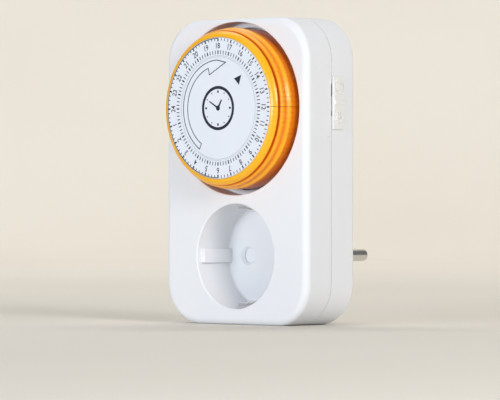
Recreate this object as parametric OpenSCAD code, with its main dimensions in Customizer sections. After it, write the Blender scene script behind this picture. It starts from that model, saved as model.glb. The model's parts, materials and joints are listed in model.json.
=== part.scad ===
// Plug-in mechanical 24 hour segment timer.
// Frame: X right and Z up seen from the front, +Y into the wall.
// Origin: on the plug axis, in the plane of the housing's rear face.

/* [Housing] */
// Width of the housing
body_w = 73; // [72:0.5:76]
// Height of the housing above the plug axis
body_up = 89.5; // [89.5:0.5:92]
// Depth of the housing below the plug axis
body_down = 25.7; // [25.7:0.5:29]
// Thickness from front face to rear face
body_d = 27; // [27:0.5:28]
// Depth of the rear shell, rear face to parting line
rear_d = 13.2; // [13.2:0.1:13.6]
// Corner radius of the housing
corner_r = 16; // [15:0.5:18]
// Edge radius around the front face
front_edge_r = 2.7; // [2:0.1:3]
// Edge radius around the rear face
rear_edge_r = 2; // [1.5:0.1:2.5]
// Wall thickness
wall = 2; // [1.8:0.1:2.2]

/* [Dial] */
// Height of the dial's centre above the plug axis
dial_z = 55.6; // [55:0.1:56]
// Radius of the well that holds the dial
well_r = 32.6; // [32.4:0.1:32.8]
// Depth of the well
well_depth = 11.8; // [11.6:0.1:12]
// Depth of the ledge around the well
ledge_depth = 8.4; // [8:0.1:9]
// Radius of the channel inside the ledge, where the segments run
channel_r = 31; // [30.9:0.1:31.2]
// How far the dial stands proud of the front face
dial_proud = 9.2; // [8:0.1:10]
// Radius of the fixed centre disc
disc_r = 19.55; // [19:0.05:19.6]
// Number of switching segments around the dial
segments = 96; // [96]
// Gap between two neighbouring segments, in degrees
segment_gap = 0.3; // [0.25:0.05:0.5]
// Travel of a switching segment
segment_travel = 3; // [2:0.1:3]

/* [Outlet and plug] */
// Radius of the outlet recess
recess_r = 19.75; // [19.5:0.05:20]
// Depth of the outlet recess
recess_depth = 17.5; // [17:0.1:17.5]
// Distance between the two pins
pin_pitch = 19; // [18.5:0.5:19.5]
// Radius of a plug pin
pin_r = 2.4; // [2.3:0.05:2.45]
// Length of a plug pin
pin_len = 19; // [18:0.5:20]
// Radius of the plug boss
boss_r = 18.5; // [18.5:0.1:19]
// Length of the plug boss
boss_len = 17; // [16:0.5:18]

/* [Slide switch] */
// Height of the thumb piece
thumb_h = 20; // [18:0.5:21]
// Height of the thumb piece's centre above the plug axis
thumb_z = 57.4; // [57:0.1:58]
// Travel between the two positions
slide_travel = 4; // [3:0.5:4]

/* [Hidden] */

$fn = 96;
e = 0.01;
front_y = -body_d;
part_y = -rear_d;
well_y = front_y + well_depth;          // front face of the well's floor
floor_y = well_y + 1.5;                 // rear face of the well's floor
face_y = front_y - dial_proud;          // face of the dial
recess_y = front_y + recess_depth;      // floor of the outlet recess
cup_y = recess_y + 1.5;                 // rear of the outlet cup
in_w = body_w / 2 - wall;               // inner half width
top_z = body_up;
bot_z = -body_down;
px = pin_pitch / 2;

white = [0.92, 0.93, 0.94];
inner_white = [0.86, 0.87, 0.88];
orange = [0.98, 0.66, 0.1];
brass = [0.78, 0.62, 0.3];
steel = [0.72, 0.73, 0.75];

// ---- gear train data: module, teeth and axle positions (X, Z) ----
function along(p, d, a) = [p[0] + d * cos(a), p[1] + d * sin(a)];
dial_c = [0, dial_z];
ring_m = 0.5;   ring_z = 90;   fin_z = 20;
m1 = 0.3;       m2 = 0.25;     m5 = 0.3;
clutch_c = along(dial_c, ring_m * (ring_z - fin_z) / 2, 60);
gear4_c = along(clutch_c, m5 * 45, 200);
gear3_c = along(gear4_c, m2 * 44, 190);
gear2_c = along(gear3_c, m2 * 44, 215);
gear1_c = along(gear2_c, m2 * 44, 300);
motor_c = along(gear1_c, m1 * 55, 280);

// involute helpers: the half angle of a tooth at radius r
function inv(a) = tan(a) * 180 / PI - a;
function press(rb, r) = r <= rb ? 0 : acos(rb / r);
function half_at(m, z, w, r) = w * 180 / z + inv(20) - inv(press(m * z * cos(20) / 2, r));
// outline of a toothed wheel: w is the tooth's share of the pitch, p0 the angle of one tooth
function tooth_radii(m, z, tip, root, n) =
    let (rb = m * z * cos(20) / 2, lo = max(rb, root))
    concat(root < rb ? [root] : [], [for (i = [0:n]) lo + (tip - lo) * i / n]);
function gear_points(m, z, w, tip, root, p0, n) =
    let (rr = tooth_radii(m, z, tip, root, n), k = len(rr))
    [for (t = [0:z - 1]) for (i = [0:2 * k - 1])
        let (j = i < k ? i : 2 * k - 1 - i, r = rr[j],
             h = half_at(m, z, w, max(r, m * z * cos(20) / 2)),
             a = p0 + t * 360 / z + (i < k ? -h : h))
        [r * cos(a), r * sin(a)]];
module gear2d(m, z, p0, n = 1, tip_k = 0.9, root_k = 1.15)
    polygon(gear_points(m, z, 0.43, m * (z / 2 + tip_k), m * (z / 2 - root_k), p0, n));

// tooth angle of a wheel B that meshes outside wheel A
function mesh_phase(pa, za, fa, pb, zb) =
    let (t = atan2(pb[1] - pa[1], pb[0] - pa[0]), f = (t - fa) * za / 360)
    t + 180 - (0.5 - f) * 360 / zb;
rotor_p = 0;
g1_p = mesh_phase(motor_c, 10, rotor_p, gear1_c, 100);
g2_p = mesh_phase(gear1_c, 8, g1_p, gear2_c, 80);
g3_p = mesh_phase(gear2_c, 8, g2_p, gear3_c, 80);
g4_p = mesh_phase(gear3_c, 8, g3_p, gear4_c, 80);
cl_p = mesh_phase(gear4_c, 10, g4_p, clutch_c, 80);
fin_p = 60 - ((60 * ring_z / 360) + 0.5) * 360 / fin_z;

// ---- placing helpers ----
// a flat shape drawn in (X, Z), from y0 to y1
module slab(y0, y1) translate([0, y1, 0]) rotate([90, 0, 0]) linear_extrude(height = y1 - y0) children();
// a round bar along Y
module bar_y(c, r, y0, y1) translate([c[0], y0, c[1]]) rotate([-90, 0, 0]) cylinder(h = y1 - y0, r = r);
// a round bar along X
module bar_x(y, z, r, x0, x1) translate([x0, y, z]) rotate([0, 90, 0]) cylinder(h = x1 - x0, r = r);
// a round bar along Z
module bar_z(x, y, r, z0, z1) translate([x, y, z0]) cylinder(h = z1 - z0, r = r);
// a profile of (radius, y) points turned about the Y axis through c, from angle a0 over a
module turned(c, pts, a0 = 0, a = 360)
    translate([c[0], 0, c[1]]) rotate([90, 0, 0]) rotate([0, 0, a0])
        rotate_extrude(angle = a) polygon([for (p = pts) [p[0], -p[1]]]);
module box(x0, x1, y0, y1, z0, z1) translate([x0, y0, z0]) cube([x1 - x0, y1 - y0, z1 - z0]);
// a ring of round wire about the Y axis
module hoop(c, R, r, y) translate([c[0], y, c[1]]) rotate([90, 0, 0]) rotate_extrude() translate([R, 0]) circle(r, $fn = 24);
// a quarter bend of wire in the X-Z plane
module bend(x, y, z, R, r, a0) translate([x, y, z]) rotate([90, 0, 0]) rotate([0, 0, a0]) rotate_extrude(angle = 90) translate([R, 0]) circle(r, $fn = 24);

// rounded rectangle of the housing, in (X, Z), inset by t
module outline(t) {
    r = corner_r - t;
    w = body_w / 2 - t;
    for (sx = [-1, 1]) {
        translate([sx * (w - r), top_z - t - r]) circle(r);
        translate([sx * (w - r), bot_z + t + r]) circle(r);
    }
    translate([-w, bot_z + t + r]) square([2 * w, top_z - bot_z - 2 * t - 2 * r]);
    translate([-w + r, bot_z + t]) square([2 * (w - r), top_z - bot_z - 2 * t]);
}

// half section of a shell's rim: radius outwards, depth upwards, edge rounded at depth 0, a small chamfer at the parting line
module rim(len, d, f) {
    c = 0.15;
    translate([0, f]) square([len, d - f - c]);
    polygon([[0, d - c], [len, d - c], [len - c, d], [0, d]]);
    square([len - f, d]);
    translate([len - f, f]) circle(f, $fn = 48);
}
// solid rounded block with one rounded edge at depth 0, drawn in (X, Z) with depth along the extrusion
module rounded_block(d, f) {
    cx = body_w / 2 - corner_r;
    zt = top_z - corner_r;
    zb = bot_z + corner_r;
    for (q = [[cx, zt, 0], [-cx, zt, 90], [-cx, zb, 180], [cx, zb, 270]])
        translate([q[0], q[1], 0]) rotate([0, 0, q[2]])
            rotate_extrude(angle = 90) rim(corner_r, d, f);
    translate([0, zt, 0]) rotate([90, 0, 0]) linear_extrude(height = zt - zb) {
        rim(body_w / 2, d, f);
        mirror([1, 0]) rim(body_w / 2, d, f);
    }
    translate([0, zt, 0]) rotate([90, 0, 90]) linear_extrude(height = 2 * cx, center = true) rim(corner_r, d, f);
    translate([0, zb, 0]) rotate([90, 0, 90]) linear_extrude(height = 2 * cx, center = true) mirror([1, 0]) rim(corner_r, d, f);
}
// local z is the depth behind the front face, or in front of the rear face
module front_block() translate([0, front_y, 0]) mirror([0, 1, 0]) rotate([90, 0, 0]) rounded_block(body_d - rear_d, front_edge_r);
module rear_block() rotate([90, 0, 0]) rounded_block(rear_d, rear_edge_r);

screw_at = [[28.2, 80.6], [-28.2, 80.6], [28, -17], [-28, -17]];

// =============================== housing ===============================
module front_shell() color(white) {
    difference() {
        union() {
            difference() {
                front_block();
                difference() {
                    slab(front_y + wall, part_y + 1) outline(wall);
                    bar_y(dial_c, well_r + 1.2, front_y + wall - 1, floor_y);
                    bar_y([0, 0], recess_r + 1.5, front_y + wall - 1, part_y + 2);
                    for (p = screw_at) bar_y(p, 2.85, front_y + wall - 1, part_y);
                }
                // step for the rear shell's locating rib
                difference() {
                    slab(part_y - 1.3, part_y + 1) outline(wall / 2);
                    slab(part_y - 2, part_y + 2) translate([-17, top_z - 12]) square([34, 14]);
                    slab(part_y - 2, part_y + 2) outline(wall);
                }
            }
            bar_y([0, 0], recess_r + 1.5, part_y - 3, cup_y);
            bar_y([0, 0], 2, cup_y - 1, cup_y + 2.8);
        }
        // dial well and outlet recess
        bar_y(dial_c, well_r, front_y - 1, front_y + ledge_depth);
        turned(dial_c, [[0, front_y - 1], [well_r + 1.45, front_y - 1], [well_r - 0.15, front_y + 0.6], [0, front_y + 0.6]]);
        bar_y(dial_c, channel_r, front_y - 1, well_y);
        bar_y([0, 0], recess_r, front_y - 1, recess_y);
        // bearing hole for the centre post, and hole for the drive shaft
        bar_y(dial_c, 3.05, well_y - 1, floor_y + 1);
        bar_y(clutch_c, 1.6, well_y - 1, floor_y + 1);
        // slot for the switch lever's nose
        box(26.3, 30.7, well_y - 1, floor_y + 1, 51.6, 64.8);
        // pin holes and clip slots of the outlet
        for (s = [-1, 1]) {
            bar_y([s * px, 0], 2.8, recess_y - 1, cup_y + 1);
            box(-2.4, 2.4, recess_y - 1, cup_y + 1, s > 0 ? 17.0 : -19.1, s > 0 ? 19.1 : -17.0);
        }
        for (p = screw_at) bar_y(p, 1.5, front_y + 4, part_y + 1);
        // pry marks on the side, at the parting line
        for (s = [-1, 1])
            translate([body_w / 2, part_y, 57.7 + s * 14]) rotate([0, 0, 0])
                linear_extrude(height = 4, center = true) polygon([[0.6, 1], [0.6, -2.4], [-0.25, 1]]);
    }
    // side guides in the recess
    for (s = [-1, 1]) intersection() {
        box(s > 0 ? 17.9 : -20.4, s > 0 ? 20.4 : -17.9, front_y + 2, recess_y + 0.5, -2.7, 2.7);
        bar_y([0, 0], recess_r + 0.5, front_y, cup_y);
    }
}

module rear_shell() color(white) difference() {
    union() {
        difference() {
            rear_block();
            difference() {
                slab(part_y - 1, -wall) outline(wall);
                for (p = screw_at) bar_y(p, 3.2, part_y, 0);
                // bearing blocks of the switch lever
                box(22.2, 24, -11.6, 0, 36.9, 41.1);
                box(30.8, 32.2, -11.6, 0, 36.9, 41.1);
            }
        }
        bar_y([0, 0], boss_r, -1, boss_len);
        // locating rib that enters the front shell
        difference() {
            slab(part_y - 1.2, part_y + 1) difference() { outline(wall / 2 + 0.1); outline(wall); }
            slab(part_y - 2, part_y) translate([-17.2, top_z - 12]) square([34.4, 14]);
        }
    }
    bar_y([0, 0], 15, -wall - 1, boss_len - 2);
    for (s = [-1, 1]) {
        bar_y([s * px, 0], pin_r + 0.05, boss_len - 3, boss_len + 1);
        // side grooves and earth grooves of the plug boss
        box(s > 0 ? boss_r - 2.2 : -boss_r - 1, s > 0 ? boss_r + 1 : -boss_r + 2.2, 0.6, boss_len + 1, -2.8, 2.8);
        box(-2.7, 2.7, -wall - 1, boss_len - 1, s > 0 ? 17.1 : -20, s > 0 ? 20 : -17.1);
    }
    for (p = screw_at) {
        bar_y(p, 1.65, part_y - 1, 1);
        bar_y(p, 2.8, -2.6, 1);
    }
    bar_x(-9.5, 39, 1.25, 21, 33);
    // slot for the slide button's stem
    box(in_w - 1, body_w / 2 + 1, part_y - 2, part_y + 2.5, 52.5, 64.5);
}

module case_screws() color(steel) for (p = screw_at) difference() {
    union() {
        bar_y(p, 2.6, -2.5, -0.5);
        bar_y(p, 1.45, front_y + 6, -2.4);
    }
    box(p[0] - 0.4, p[0] + 0.4, -1.7, 0, p[1] - 1.5, p[1] + 1.5);
    box(p[0] - 1.5, p[0] + 1.5, -1.7, 0, p[1] - 0.4, p[1] + 0.4);
}

// =============================== dial ===============================
module centre_disc() color(white)
    turned(dial_c, [[0, face_y], [disc_r - 0.15, face_y], [disc_r, face_y + 0.15], [disc_r, face_y + 1],
        [5, face_y + 1], [5, face_y + 4.9], [3.05, face_y + 4.9], [3.05, face_y + 1.4], [0, face_y + 1.4]]);

module centre_post() color(steel)
    turned(dial_c, [[0, face_y + 1.5], [2.8, face_y + 1.5], [3, face_y + 1.7], [3, floor_y + 1], [4, floor_y + 1],
        [4, floor_y + 1.7], [0, floor_y + 1.7]]);

carrier_r = 26.45;
module dial_carrier() color(inner_white) {
    difference() {
        turned(dial_c, [[20.6, face_y + 1], [carrier_r, face_y + 1], [carrier_r, face_y + 7.2], [25.2, face_y + 7.2],
            [25.2, face_y + 10.6 + segment_travel], [carrier_r, face_y + 10.6 + segment_travel],
            [carrier_r, well_y - 1.2], [24.4, well_y - 1.2], [24.4, -21], [5.5, -21], [5.5, well_y - 0.6],
            [3.05, well_y - 0.6], [3.05, -30.6], [5.5, -30.6], [5.5, -22.6], [23.6, -22.6], [23.6, face_y + 2.4], [20.6, face_y + 2.4]]);
        // lightening holes in the web
        for (i = [0:5]) bar_y(along(dial_c, 14.5, 60 * i), 4.5, -23, -20);
    }
    // internal gear
    translate([0, 0, dial_z]) slab(-21.2, well_y - 1.6) difference() {
        circle(24.6);
        polygon(gear_points(ring_m, ring_z, 0.57, 23.15, 22.05, 180 / ring_z, 1));
    }
    // drive ribs between the hour groups, in the groove of the segments' lugs
    for (i = [0:23]) translate([0, 0, dial_z]) rotate([0, i * 15 - 0.001, 0])
        box(25, 26.2, face_y + 7, face_y + 10.8 + segment_travel, -0.13, 0.13);
}

module number_ring() color(white)
    turned(dial_c, [[disc_r + 0.15, face_y], [26.35, face_y], [26.5, face_y + 0.15], [26.5, face_y + 1], [disc_r + 0.15, face_y + 1]]);

// one switching segment at angle a
module segment(a) {
    turned(dial_c, [[26.6, face_y], [29.2, face_y + 1.9], [29.0, face_y + 2.15], [28.2, face_y + 2.3], [28.2, face_y + 2.7],
        [29.5, face_y + 3.0], [29.9, face_y + 3.8], [29.5, face_y + 4.6], [29.5, face_y + 5.0], [30.3, face_y + 6.2],
        [30.4, face_y + 7.6], [30.2, face_y + 9.2], [30.2, face_y + 17.2], [26.6, face_y + 17.2]],
        a + segment_gap / 2, 360 / segments - segment_gap);
    turned(dial_c, [[25.35, face_y + 7.4], [26.7, face_y + 7.4], [26.7, face_y + 10.4], [25.35, face_y + 10.4]],
        a + 0.6, 360 / segments - 1.2);
}
// the four quarter-hour segments of one hour: hours count anticlockwise, 12 at the right
module hour(n) color(orange) for (i = [0:3]) segment((n - 12) * 15 + i * 360 / segments);

// =============================== gear train ===============================
lvl = [-12.3, -10.9, -9.7, -8.5, -7.3];     // front faces of the five wheels
module plate_outline() polygon([[-32, 24], [12, 24], [20.9, 40], [20.9, 79], [14, 86], [-15, 86], [-23, 78.5], [-32, 70]]);
pillars = [[-30, 69.2], [17.5, 46], [-9, 83.5], [8, 26.4]];

module gear_plate_front() color(steel) difference() {
    slab(floor_y, floor_y + 1) plate_outline();
    bar_y(dial_c, 3.05, floor_y - 1, floor_y + 2);
    bar_y(clutch_c, 1.05, floor_y - 1, floor_y + 2);
    for (c = [gear1_c, gear3_c, gear4_c]) bar_y(c, 0.55, floor_y - 1, floor_y + 2);
}
module gear_plate_rear() color(steel) difference() {
    union() {
        slab(-4.2, -3.2) plate_outline();
        for (p = pillars) bar_y(p, 1.6, floor_y + 1, -4);
    }
    bar_y(clutch_c, 1.05, -5, -2);
    for (c = [gear1_c, gear2_c, gear3_c, gear4_c]) bar_y(c, 0.55, -5, -2);
    bar_y(motor_c, 14.3, -5, -2);
    for (p = [[6, 50], [8, 38]]) bar_y(p, 4.5, -5, -2);
}
module gear_axles() color(steel) {
    for (c = [gear1_c, gear3_c, gear4_c]) bar_y(c, 0.5, floor_y, -3.2);
    bar_y(gear2_c, 0.5, -10.95, -3.2);
}
// a wheel with a pinion behind it
module compound(c, m, z, p, y, pm, pz, pp, py) difference() {
    union() {
        translate([c[0], 0, c[1]]) slab(y, y + 0.9) difference() {
            gear2d(m, z, p);
            if (z >= 80) for (i = [0:4]) rotate(i * 72) translate([m * z * 0.29, 0]) circle(m * z * 0.115);
        }
        translate([c[0], 0, c[1]]) slab(y + 0.8, py) gear2d(pm, pz, pp, 3);
    }
    bar_y(c, 0.55, y - 1, py + 1);
}
module gear_1() color([0.93, 0.9, 0.8]) compound(gear1_c, m1, 100, g1_p, lvl[0], m2, 8, g1_p, -9.9);
module gear_2() color([0.93, 0.9, 0.8]) compound(gear2_c, m2, 80, g2_p, lvl[1], m2, 8, g2_p, -8.7);
module gear_3() color([0.93, 0.9, 0.8]) compound(gear3_c, m2, 80, g3_p, lvl[2], m2, 8, g3_p, -7.5);
module gear_4() color([0.93, 0.9, 0.8]) compound(gear4_c, m2, 80, g4_p, lvl[3], m5, 10, g4_p, -6.1);
module clutch_gear() color([0.85, 0.35, 0.25]) difference() {
    union() {
        translate([clutch_c[0], 0, clutch_c[1]]) slab(lvl[4], lvl[4] + 1) gear2d(m5, 80, cl_p);
        bar_y(clutch_c, 3, lvl[4] - 0.6, lvl[4] + 0.5);
    }
    bar_y(clutch_c, 1.05, -9, -5);
}
module final_pinion() color([0.93, 0.9, 0.8]) {
    translate([clutch_c[0], 0, clutch_c[1]]) slab(-20.4, -16.2) gear2d(ring_m, fin_z, fin_p, 3);
    bar_y(clutch_c, 1, -17, -3.4);
    // friction disc of the clutch
    bar_y(clutch_c, 4.6, -6.1, -5.4);
}

// =============================== motor ===============================
motor_r = 14;
module motor_can() color(steel) {
    difference() {
        bar_y(motor_c, motor_r, -9.6, -2.4);
        bar_y(motor_c, motor_r - 0.8, -10, -3.2);
    }
    // stator claws, and the rotor's axle
    for (i = [0:5]) turned(motor_c, [[5.7, -7.6], [6.5, -7.6], [6.5, -3.1], [5.7, -3.1]], i * 60, 20);
    bar_y(motor_c, 0.5, -12.4, -3.1);
}
module motor_pole_plate() color(steel) {
    difference() {
        bar_y(motor_c, motor_r - 0.85, -9.6, -8.8);
        bar_y(motor_c, 3.2, -10, -8);
    }
    for (i = [0:5]) turned(motor_c, [[5.7, -8.9], [6.5, -8.9], [6.5, -4.2], [5.7, -4.2]], i * 60 + 30, 20);
}
module motor_bobbin() color([0.2, 0.22, 0.25])
    turned(motor_c, [[6.8, -8.7], [13.0, -8.7], [13.0, -8.0], [7.5, -8.0], [7.5, -4.0], [13.0, -4.0], [13.0, -3.3], [6.8, -3.3]]);
module motor_winding() color([0.75, 0.42, 0.2])
    turned(motor_c, [[7.6, -7.95], [12.2, -7.95], [12.6, -7.6], [12.6, -4.4], [12.2, -4.05], [7.6, -4.05]]);
module motor_rotor() color([0.3, 0.3, 0.32]) difference() {
    union() {
        bar_y(motor_c, 5.3, -8.3, -3.6);
        translate([motor_c[0], 0, motor_c[1]]) slab(-12.3, -8.2) gear2d(m1, 10, rotor_p, 3);
    }
    bar_y(motor_c, 0.55, -13, -3);
}
module motor_leads() color([0.25, 0.3, 0.6]) {
    // neutral lead: down from the motor and across to the neutral contact
    bar_z(-24.5, -6, 0.7, 5.5, 20.4);
    bend(-22.5, -6, 5.5, 2, 0.7, 180);
    translate([-22.5, -6, 3.5]) rotate([0, 90, 0]) cylinder(h = 7, r = 0.7);
    // live lead: across to the live bus
    bar_x(-6.5, 29, 0.7, -1.2, 30.2);
    bend(30.2, -6.5, 27, 2, 0.7, 0);
    bar_z(32.2, -6.5, 0.7, 23.4, 27);
}

// =============================== switch ===============================
module slide_button() color(inner_white) {
    x0 = body_w / 2 + 0.1;
    z0 = thumb_z - thumb_h / 2;
    // thumb piece with a grip rib and a pointer nub
    box(x0, x0 + 1.1, part_y + 0.3, -7.3, z0, z0 + thumb_h);
    box(x0, x0 + 1.5, part_y + 0.3, -7.3, thumb_z - 0.8, thumb_z + 0.8);
    box(x0, x0 + 0.9, -7.6, -6.2, thumb_z - 0.7, thumb_z + 0.7);
    // raised signs: a ring at the top, a clock at the bottom
    for (s = [-1, 1]) difference() {
        bar_x(-10.1, thumb_z + s * 6.4, 1.9, x0 + 1, x0 + 1.35);
        bar_x(-10.1, thumb_z + s * 6.4, 1.4, x0, x0 + 2);
    }
    box(x0 + 1, x0 + 1.35, -10.3, -9.9, thumb_z - 6.6, thumb_z - 5.3);
    box(x0 + 1, x0 + 1.35, -10.3, -9.2, thumb_z - 6.6, thumb_z - 6.2);
    // stem through the housing, and inner plate with two detent notches
    box(34, x0 + 0.5, part_y + 0.3, -11, thumb_z - 3.1, thumb_z + 2.5);
    difference() {
        box(33, 34.2, part_y + 0.3, -9.5, 46.4, 64);
        for (z = [57.2, 61.2]) bar_x(-9.3, z - slide_travel, 0.8, 32, 35);
        box(32, 35, -9.9, -9, 58.4, 59.9);
        box(32, 35, -9.8, -9, 52.9, 57.6);
    }
    // wedge that holds the lever back
    translate([30.8, 0, 0]) rotate([90, 0, 90]) linear_extrude(height = 2.6)
        polygon([[-13.4, 43.1], [-13.4, 50], [-10.95, 50], [-12.95, 43.1]]);
}
module slide_detent_spring() color(steel) {
    box(33.1, 34.1, -9.0, -8.7, 45, 72);
    box(33.1, 34.1, -9.0, -wall, 71.2, 72);
    bar_x(-9.15, 53.2, 0.35, 33.1, 34.1);
}
module switch_lever() color([0.2, 0.25, 0.3]) {
    bar_x(-9.5, 39, 1.2, 22.4, 32.1);
    bar_x(-9.5, 39, 2.2, 24.3, 30.5);
    box(26.4, 30.5, -11.2, -9.6, 39.5, 64);
    // nose that reads the segments
    box(27, 30, -15.9, -11, 54, 57.2);
    // pusher for the contact leaf
    box(27, 29.6, -9.8, -8.45, 59, 61);
    // follower for the slide button's wedge
    bar_x(-10.4, 48, 0.8, 30.3, 32.6);
}
module moving_contact() color(brass) {
    difference() {
        bar_x(-8, 46, 0.95, 26.1, 29.9);
        bar_x(-8, 46, 0.55, 25, 31);
    }
    box(26.3, 29.7, -8.2, -7.85, 46.7, 70.4);
    bar_y([28, 68], 1.5, -7.9, -6.9);
    bar_y([28, 68], 1.2, -8.6, -8.1);
}
module live_bus() color(brass) {
    bar_y([28, 68], 1.5, -6.82, -5.8);
    box(26, 34.2, -5.9, -5.1, 65.5, 70.5);
    box(32.6, 34.2, -5.9, -5.1, -2, 66);
    box(13.4, 34.2, -5.9, -5.1, -2, 2);
    box(13.4, 14.2, -5.9, 13.3, -2, 2);
    difference() {
        union() {
            box(7, 14.2, 12.3, 13.3, -1.6, 1.6);
            bar_y([px, 0], 3.2, 12.3, 13.3);
        }
        bar_y([px, 0], 2.02, 12, 14);
    }
}
module switched_bus() color(brass) {
    box(8, 11, -3.4, -2.6, 3.3, 10);
    box(8, 28.5, -3.4, -2.6, 6, 10);
    box(25, 28.5, -3.4, -2.6, 6, 47);
    box(24.6, 31.2, -3.4, -2.6, 45, 47);
    for (x = [24.6, 30.4]) box(x, x + 0.8, -8.7, -2.6, 45.2, 46.8);
    bar_x(-8, 46, 0.5, 25, 31);
}

// =============================== outlet and plug ===============================
module sleeve(s) difference() {
    bar_y([s * px, 0], 3.1, -3.4, 9);
    bar_y([s * px, 0], 2.45, -4, 10);
    box(s * px - 0.5, s * px + 0.5, -4, 6, -4, 0);
}
module live_contact() color(brass) {
    sleeve(1);
    box(8.6, 10.4, -3.4, 4, 2.8, 3.3);
}
module neutral_contact() color(brass) {
    sleeve(-1);
    box(-13.1, -12.5, 2, 13.3, -1.6, 1.6);
    difference() {
        union() {
            box(-13.1, -7, 12.3, 13.3, -1.6, 1.6);
            bar_y([-px, 0], 3.2, 12.3, 13.3);
        }
        bar_y([-px, 0], 2.02, 12, 14);
    }
    box(-15.5, -12.4, -3.4, -2.7, -2, 5);
}
module plug_pins() color([0.8, 0.8, 0.8]) for (s = [-1, 1])
    turned([s * px, 0], [[0, 10.8], [2, 10.8], [2, 13.4], [3.4, 13.4], [3.4, boss_len - 2.05], [pin_r - 0.2, boss_len - 2.05],
        [pin_r - 0.2, boss_len], [pin_r, boss_len], [pin_r, boss_len + pin_len - 1.2], [pin_r - 0.35, boss_len + pin_len - 0.5],
        [pin_r - 1.1, boss_len + pin_len], [0, boss_len + pin_len]]);
module earth_clips() color(brass) for (s = [0, 1]) mirror([0, 0, s]) {
    box(-2, 2, -22, -3.2, 17.5, 18.2);
    bar_x(-17, 17.7, 0.9, -2, 2);
    translate([0, -22, 17.5]) rotate([-35, 0, 0]) box(-2, 2, -1.6, 0.2, 0.1, 0.75);
}
module earth_strap() color(brass) {
    box(-2.5, 2.5, -3.2, -2.4, -19.5, 19.5);
    for (s = [0, 1]) mirror([0, 0, s]) {
        box(-2.5, 2.5, -3.2, boss_len - 1.6, 17.3, 18.1);
    }
}
// safety shutter: two windows stand 35 degrees away from the pin holes
module shutter() color([0.8, 0.82, 0.84]) difference() {
    union() {
        bar_y([0, 0], 13, cup_y + 0.2, cup_y + 1.4);
        bar_y([0, 0], 2.7, cup_y + 1, cup_y + 2.7);
    }
    bar_y([0, 0], 2.05, cup_y - 1, cup_y + 4);
    for (s = [0, 180]) {
        bar_y([px * cos(35 + s), px * sin(35 + s)], 3.1, cup_y - 1, cup_y + 4);
    }
}
module shutter_spring() color(steel) for (y = [0, 0.65]) hoop([0, 0], 3.35, 0.3, cup_y + 1.75 + y);
module shutter_cover() color(inner_white) difference() {
    union() {
        bar_y([0, 0], 15, cup_y + 3, cup_y + 4.2);
        for (a = [40, 140, 270]) bar_y([14 * cos(a), 14 * sin(a)], 0.8, cup_y, cup_y + 3.5);
    }
    for (s = [-1, 1]) bar_y([s * px, 0], 3, cup_y + 2, cup_y + 5);
    // notch for the live bus
    box(13, 16, cup_y + 2, cup_y + 5, -2.4, 2.4);
}

front_shell();
rear_shell();
case_screws();
centre_disc();
centre_post();
dial_carrier();
number_ring();
hour(1);  // segments_h01
hour(2);  // segments_h02
hour(3);  // segments_h03
hour(4);  // segments_h04
hour(5);  // segments_h05
hour(6);  // segments_h06
hour(7);  // segments_h07
hour(8);  // segments_h08
hour(9);  // segments_h09
hour(10);  // segments_h10
hour(11);  // segments_h11
hour(12);  // segments_h12
hour(13);  // segments_h13
hour(14);  // segments_h14
hour(15);  // segments_h15
hour(16);  // segments_h16
hour(17);  // segments_h17
hour(18);  // segments_h18
hour(19);  // segments_h19
hour(20);  // segments_h20
hour(21);  // segments_h21
hour(22);  // segments_h22
hour(23);  // segments_h23
hour(24);  // segments_h24
gear_plate_front();
gear_plate_rear();
gear_axles();
gear_1();
gear_2();
gear_3();
gear_4();
clutch_gear();
final_pinion();
motor_can();
motor_pole_plate();
motor_bobbin();
motor_winding();
motor_rotor();
motor_leads();
slide_button();
slide_detent_spring();
switch_lever();
moving_contact();
live_bus();
switched_bus();
neutral_contact();
live_contact();
plug_pins();
earth_clips();
earth_strap();
shutter();
shutter_spring();
shutter_cover();
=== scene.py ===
import json
import math

import bmesh
import bpy
from mathutils import Matrix, Vector


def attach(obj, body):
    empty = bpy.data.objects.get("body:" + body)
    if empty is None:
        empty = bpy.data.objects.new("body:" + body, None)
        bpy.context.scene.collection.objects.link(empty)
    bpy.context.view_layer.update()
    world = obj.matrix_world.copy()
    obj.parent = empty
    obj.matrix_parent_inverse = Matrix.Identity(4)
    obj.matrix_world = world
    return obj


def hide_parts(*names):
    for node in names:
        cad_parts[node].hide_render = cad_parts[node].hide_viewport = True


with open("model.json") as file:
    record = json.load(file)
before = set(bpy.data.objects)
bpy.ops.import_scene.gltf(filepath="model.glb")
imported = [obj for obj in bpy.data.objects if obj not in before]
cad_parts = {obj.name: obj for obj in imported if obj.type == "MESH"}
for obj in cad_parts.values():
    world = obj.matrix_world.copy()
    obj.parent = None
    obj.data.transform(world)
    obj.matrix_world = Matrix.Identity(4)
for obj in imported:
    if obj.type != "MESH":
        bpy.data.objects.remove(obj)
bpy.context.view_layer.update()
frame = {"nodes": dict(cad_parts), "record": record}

MM = 0.001
NODES = frame["nodes"]

# ------------------------------------------------------------------ sizes, in mm, as in the CAD
W, UP, DOWN, DEEP, REAR_D = 73.0, 89.5, 25.7, 27.0, 13.2
CORNER, FRONT_EDGE, REAR_EDGE, WALL = 16.0, 2.7, 2.0, 2.0
FRONT, PART = -DEEP, -REAR_D
DIAL = (0.0, 55.6)
WELL_R, CHANNEL_R, LEDGE, WELL = 32.6, 30.65, FRONT + 8.4, FRONT + 11.8
FLOOR = WELL + 1.5
FACE = FRONT - 9.2
RECESS_R, RECESS = 19.75, FRONT + 17.5
CUP = RECESS + 1.5
BOSS_R, BOSS = 18.5, 17.0
PX, PIN_R, PIN_L = 9.5, 2.4, 19.0
SCREWS = [(28.2, 80.6), (-28.2, 80.6), (28.0, -17.0), (-28.0, -17.0)]
THUMB_Z, THUMB_H = 57.4, 20.0


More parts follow.
